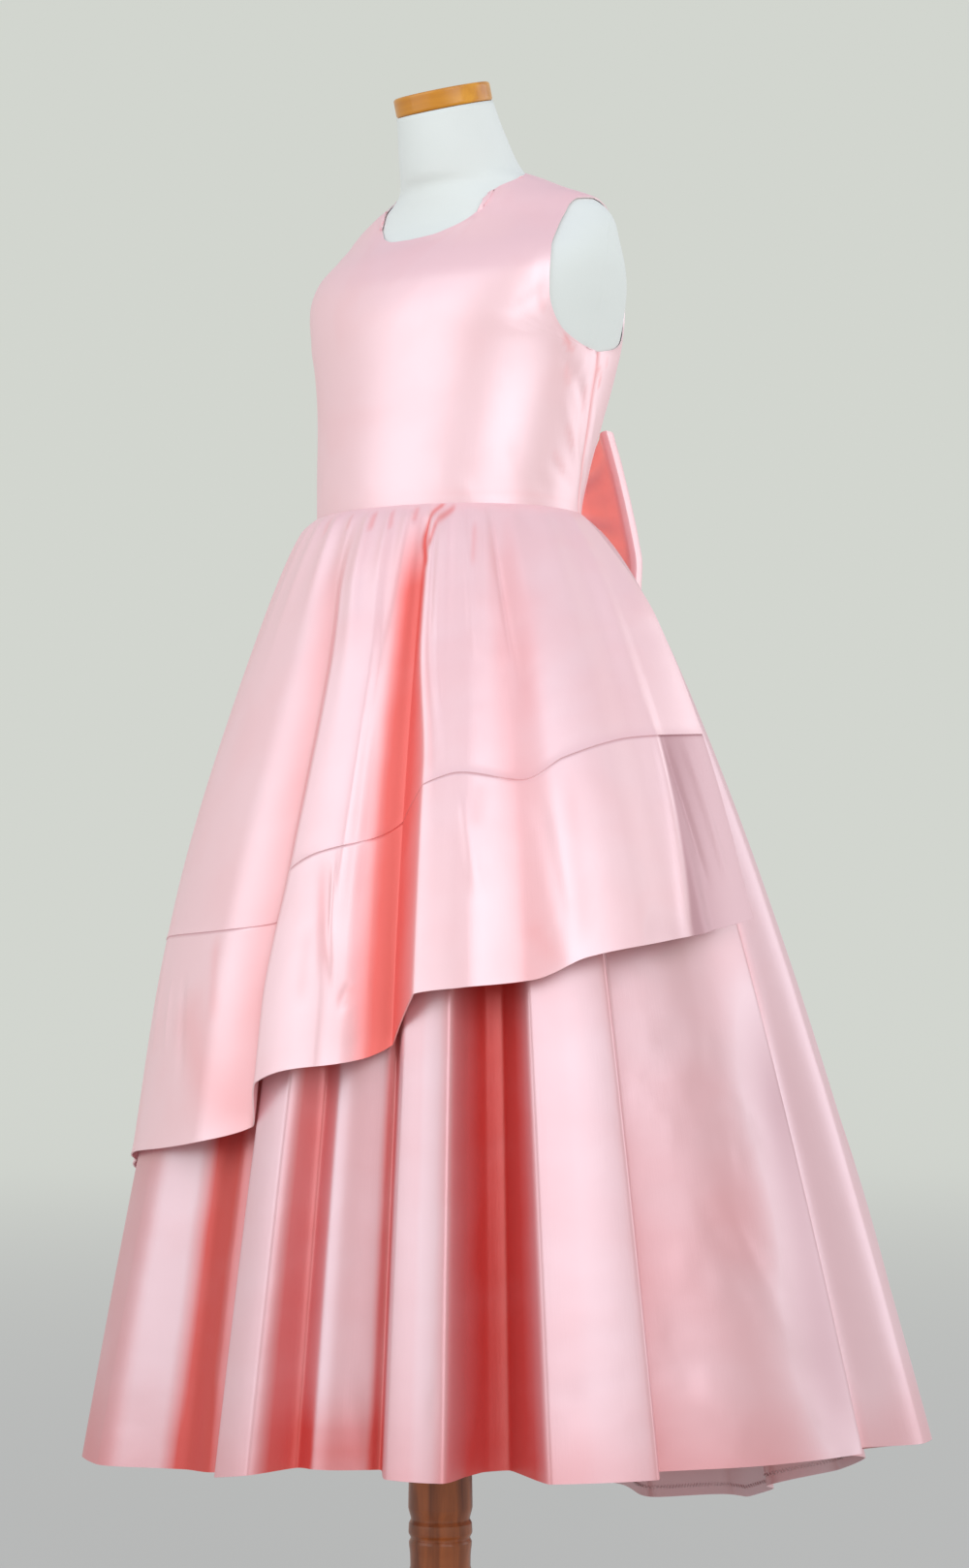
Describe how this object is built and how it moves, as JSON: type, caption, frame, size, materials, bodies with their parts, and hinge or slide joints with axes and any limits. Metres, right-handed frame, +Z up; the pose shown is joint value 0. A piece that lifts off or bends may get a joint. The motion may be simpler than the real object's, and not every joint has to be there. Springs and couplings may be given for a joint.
{
  "type": "ball gown on a dress form stand",
  "caption": "Girl's sleeveless floor-length satin ball gown with slanting banded overskirt and back bow, worn by a limbless dress form on a turned post and round base",
  "frame": {"origin": "on the post's axis at the underside of the round base, on the floor", "axes": "+Z up, -Y the gown's front, +X the wearer's left"},
  "size_m": [0.7267, 0.7264, 1.4565],
  "materials": {
    "satin": "pale pink duchess satin",
    "form_cover": "white cotton jersey cover",
    "cap_wood": "amber varnish",
    "post_wood": "brown varnish"
  },
  "bodies": {
    "root": {"form_torso": "form_cover", "neck_cap": "cap_wood", "post": "post_wood", "base": "post_wood", "bodice_front": "satin", "bodice_back_left": "satin", "bodice_back_right": "satin", "underskirt_front": "satin", "underskirt_back": "satin", "overskirt_upper": "satin", "overskirt_band": "satin", "bow_loop_left": "satin", "bow_loop_right": "satin", "bow_knot": "satin"}
  },
  "joints": []
}
